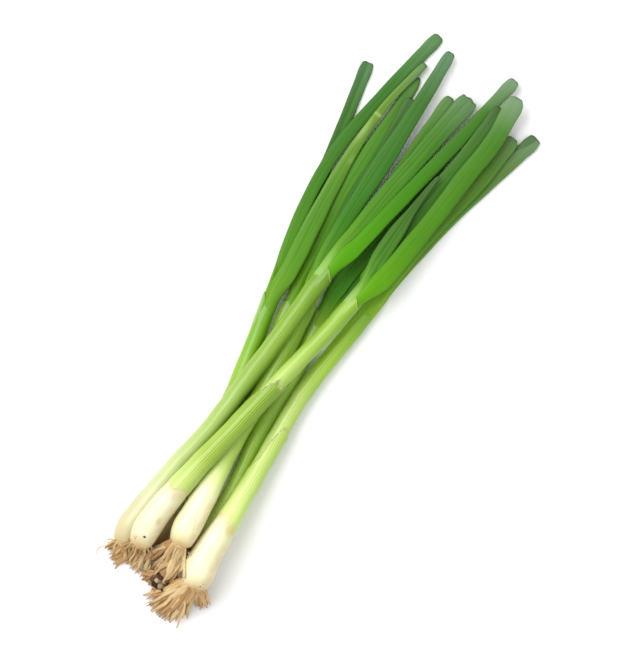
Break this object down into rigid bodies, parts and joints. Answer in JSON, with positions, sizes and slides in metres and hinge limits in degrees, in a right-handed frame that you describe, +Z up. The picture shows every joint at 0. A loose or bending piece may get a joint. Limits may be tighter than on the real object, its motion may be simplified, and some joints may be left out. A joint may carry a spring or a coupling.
{
  "type": "spring onion bunch",
  "caption": "Loose bunch of fresh spring onions lying flat, with white bulbs, root tufts, pale sheathed stems and trimmed green leaves.",
  "frame": {"origin": "middle of the bunch's bounding box, on the table that it lies on", "axes": "+X along the bunch from the roots to the cut leaf ends, +Z up from the table, +Y across the bunch to the left of +X"},
  "size_m": [0.3686, 0.1108, 0.0349],
  "materials": {
    "bulb_and_sheath": "moist satin skin, cream at the bulb, streaked pale green above",
    "leaf": "satin, finely veined along its length, waxy grey-green at the cut end",
    "root": "dry matte tan fibre"
  },
  "bodies": {
    "root": {"onion_a_leaf_1": "leaf", "onion_a_leaf_2": "leaf", "onion_a_leaf_3": "leaf", "onion_a_roots": "root", "onion_a_stem": "bulb_and_sheath", "onion_b_leaf_1": "leaf", "onion_b_leaf_2": "leaf", "onion_b_leaf_3": "leaf", "onion_b_roots": "root", "onion_b_stem": "bulb_and_sheath", "onion_c_leaf_1": "leaf", "onion_c_leaf_2": "leaf", "onion_c_roots": "root", "onion_c_stem": "bulb_and_sheath", "onion_d_leaf_1": "leaf", "onion_d_leaf_2": "leaf", "onion_d_roots": "root", "onion_d_stem": "bulb_and_sheath", "onion_e_leaf_1": "leaf", "onion_e_leaf_2": "leaf", "onion_e_roots": "root", "onion_e_stem": "bulb_and_sheath", "onion_f_leaf_1": "leaf", "onion_f_leaf_2": "leaf", "onion_f_leaf_3": "leaf", "onion_f_roots": "root", "onion_f_stem": "bulb_and_sheath", "onion_g_leaf_1": "leaf", "onion_g_roots": "root", "onion_g_stem": "bulb_and_sheath"}
  },
  "joints": []
}
